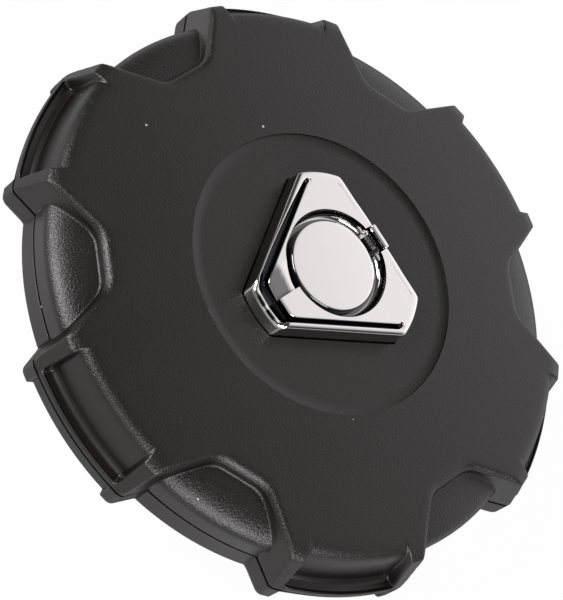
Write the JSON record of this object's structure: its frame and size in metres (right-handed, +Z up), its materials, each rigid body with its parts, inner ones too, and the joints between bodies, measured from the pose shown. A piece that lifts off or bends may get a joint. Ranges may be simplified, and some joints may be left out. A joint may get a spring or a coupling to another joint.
{
  "type": "fuel filler cap",
  "caption": "Locking fuel filler cap: a grooved hand-grip cap with a chromed key cover, a sprung seal, a bayonet spigot and a key-driven lock bolt.",
  "frame": {"origin": "on the cap's axis at its lowest face, the underside of the bayonet plate", "axes": "+Z up along the cap's axis through its face; the lock bolt leaves towards -Y and the bayonet ears lie along X"},
  "size_m": [0.1194, 0.1246, 0.0393],
  "materials": {
    "shell_plastic": "fine moulded grain",
    "ring_plastic": "fine moulded grain",
    "bezel_chrome": "bright plated",
    "flap_chrome": "bright plated",
    "spring_steel": "drawn wire and sheet",
    "housing_zinc": "die-cast, plated",
    "screw_steel": "zinc plated",
    "plug_brass": "turned",
    "wafer_brass": "stamped",
    "plated_steel": "zinc plated",
    "bolt_steel": "ground",
    "cast_aluminium": "as cast",
    "bayonet_steel": "pressed and zinc plated",
    "rivet_aluminium": "set rivets",
    "pressed_steel": "pressed and zinc plated",
    "seal_rubber": "moulded nitrile",
    "vent_brass": "drawn",
    "poppet_plastic": "moulded",
    "vent_wire": "drawn wire"
  },
  "bodies": {
    "cap": {"upper_shell": "shell_plastic", "lower_ring": "ring_plastic", "lock_bezel": "bezel_chrome", "flap_pin": "spring_steel", "flap_spring": "spring_steel", "main_spring": "spring_steel", "seal_retainer": "spring_steel", "lock_housing": "housing_zinc", "housing_screws": "screw_steel", "guide_screws": "screw_steel", "spigot_screws": "screw_steel", "bolt_guide": "plated_steel", "spigot_body": "cast_aluminium", "bayonet_plate": "bayonet_steel", "bayonet_rivets": "rivet_aluminium", "vent_cage": "vent_brass", "vent_spring": "vent_wire"},
    "flap": {"dust_flap": "flap_chrome"},
    "plug": {"key_plug": "plug_brass", "plug_wafers": "wafer_brass", "plug_clip": "spring_steel", "lock_cam": "plated_steel"},
    "bolt": {"lock_bolt": "bolt_steel"},
    "seal": {"pressure_plate": "pressed_steel", "seal_ring": "seal_rubber"},
    "poppet": {"vent_poppet": "poppet_plastic"}
  },
  "joints": [
    {"name": "flap_hinge", "type": "hinge", "parent": "cap", "child": "flap", "pos_m": [0, 0.0117, 0.0375], "axis": [-1, 0, 0], "range_deg": [0, 100], "stiffness_Nm_per_rad": 0.0015, "springref_deg": -34.38},
    {"name": "key_turn", "type": "hinge", "parent": "cap", "child": "plug", "pos_m": [0, 0, 0], "axis": [0, 0, -1], "range_deg": [0, 90]},
    {"name": "bolt_throw", "type": "slide", "parent": "cap", "child": "bolt", "axis": [0, -1, 0], "range_m": [0, 0.0065]},
    {"name": "seal_press", "type": "slide", "parent": "cap", "child": "seal", "axis": [0, 0, 1], "range_m": [0, 0.0022], "stiffness_N_per_m": 3000, "springref_m": -0.001, "deforming": ["main_spring"]},
    {"name": "vent_lift", "type": "slide", "parent": "cap", "child": "poppet", "axis": [0, 0, 1], "range_m": [0, 0.0015], "stiffness_N_per_m": 100, "springref_m": -0.001, "deforming": ["vent_spring"]}
  ],
  "couplings": [
    {"joint": "bolt_throw", "follows": "key_turn", "m_per_rad": 0.0040514}
  ]
}
